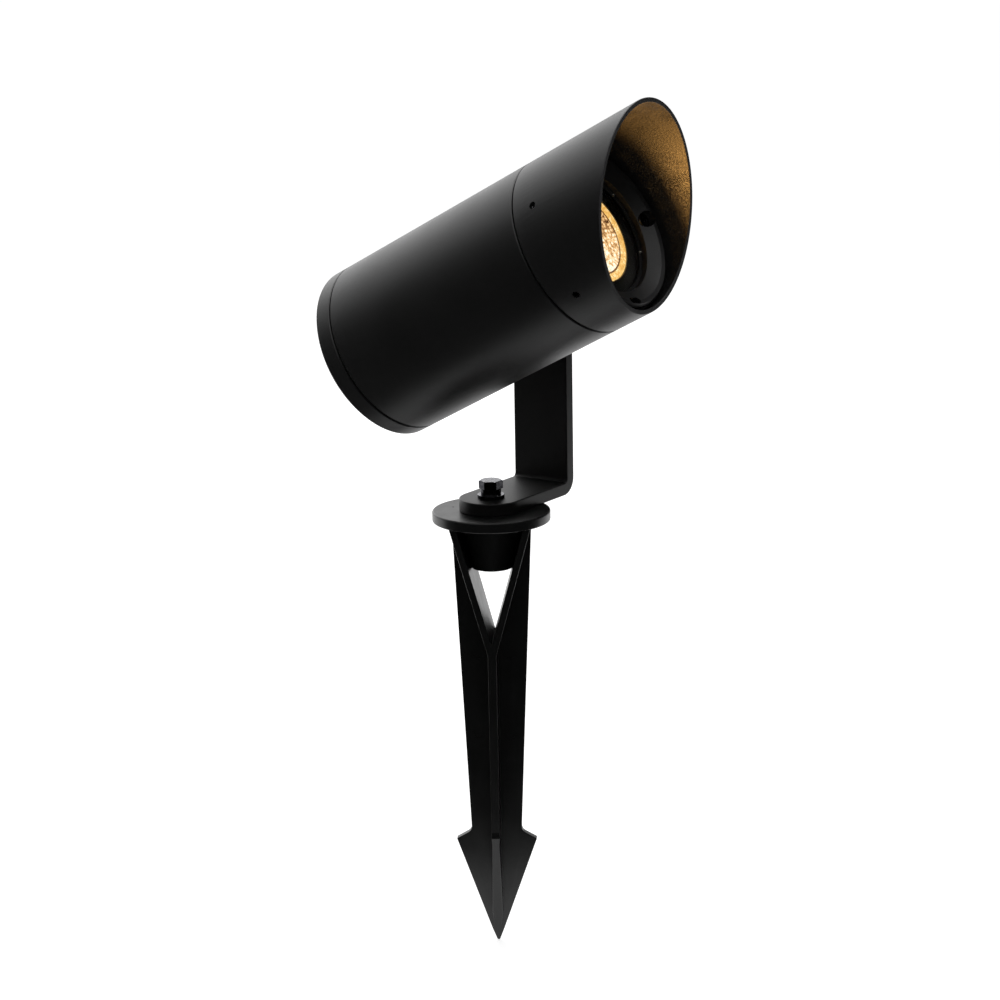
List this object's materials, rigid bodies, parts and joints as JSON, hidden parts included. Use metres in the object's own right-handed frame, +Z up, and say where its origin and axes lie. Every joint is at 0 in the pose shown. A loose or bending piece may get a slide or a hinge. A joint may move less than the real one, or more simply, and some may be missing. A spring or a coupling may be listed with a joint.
{
  "type": "garden spike spotlight",
  "caption": "Round black garden spotlight with a slanted glare hood, tilting on a flat-bar bracket that is bolted to a moulded ground spike.",
  "frame": {"origin": "centre of the spike flange's underside, which rests on the ground", "axes": "+Z up along the spike, +X the way the lamp head points, +Y the side of the head that the bracket's arm stands on"},
  "size_m": [0.1692, 0.0989, 0.414],
  "materials": {
    "powder_coat": "aluminium with a fine satin black powder coat",
    "hood_coat": "aluminium with a fine satin black powder coat, inside and out",
    "bar_coat": "steel with a fine satin black powder coat",
    "spike_plastic": "black moulded plastic, slightly satin",
    "black_steel": "black zinc plated steel, semi-gloss",
    "steel": "stainless steel",
    "glass": "clear toughened glass",
    "lens_clear": "clear acrylic, lit warm white from behind",
    "emitter": "yellow phosphor over the light source",
    "dark_plastic": "dark grey moulded plastic",
    "rubber_black": "black silicone rubber",
    "nylon_black": "black nylon",
    "board_white": "white solder mask on aluminium",
    "thermal_grey": "grey thermal pad",
    "driver_case": "white plastic case, potted",
    "terminal_pale": "pale moulded plastic"
  },
  "bodies": {
    "spike": {"ground_spike": "spike_plastic", "base_nut": "steel", "base_bolt": "black_steel", "base_spring_washer": "black_steel", "base_flat_washer": "black_steel"},
    "bar": {"bracket": "bar_coat"},
    "head": {"tilt_bolt": "black_steel", "tilt_spring_washer": "black_steel", "tilt_flat_washer": "black_steel", "friction_washer": "nylon_black", "housing": "powder_coat", "hood": "hood_coat", "hood_grub_screws": "black_steel", "bezel_ring": "powder_coat", "bezel_screws": "black_steel", "front_glass": "glass", "front_gasket": "rubber_black", "glass_seat_gasket": "rubber_black", "lens": "lens_clear", "lens_holder": "dark_plastic", "thermal_pad": "thermal_grey", "led_board": "board_white", "led_emitter": "emitter", "board_screws": "steel", "led_driver": "driver_case", "driver_screws": "steel", "terminal_block": "terminal_pale", "rear_cap": "powder_coat", "rear_cap_screws": "steel", "rear_seal": "rubber_black", "gland_body": "nylon_black", "gland_lock_nut": "nylon_black", "gland_seal": "rubber_black", "gland_dome_nut": "nylon_black"}
  },
  "joints": [
    {"name": "pan", "type": "hinge", "parent": "spike", "child": "bar", "pos_m": [0, 0, 0.008], "axis": [0, 0, 1], "continuous": true},
    {"name": "tilt", "type": "hinge", "parent": "bar", "child": "head", "pos_m": [0, 0.0462, 0.1081], "axis": [0, -1, 0], "range_deg": [-72.7, 62.3]}
  ]
}
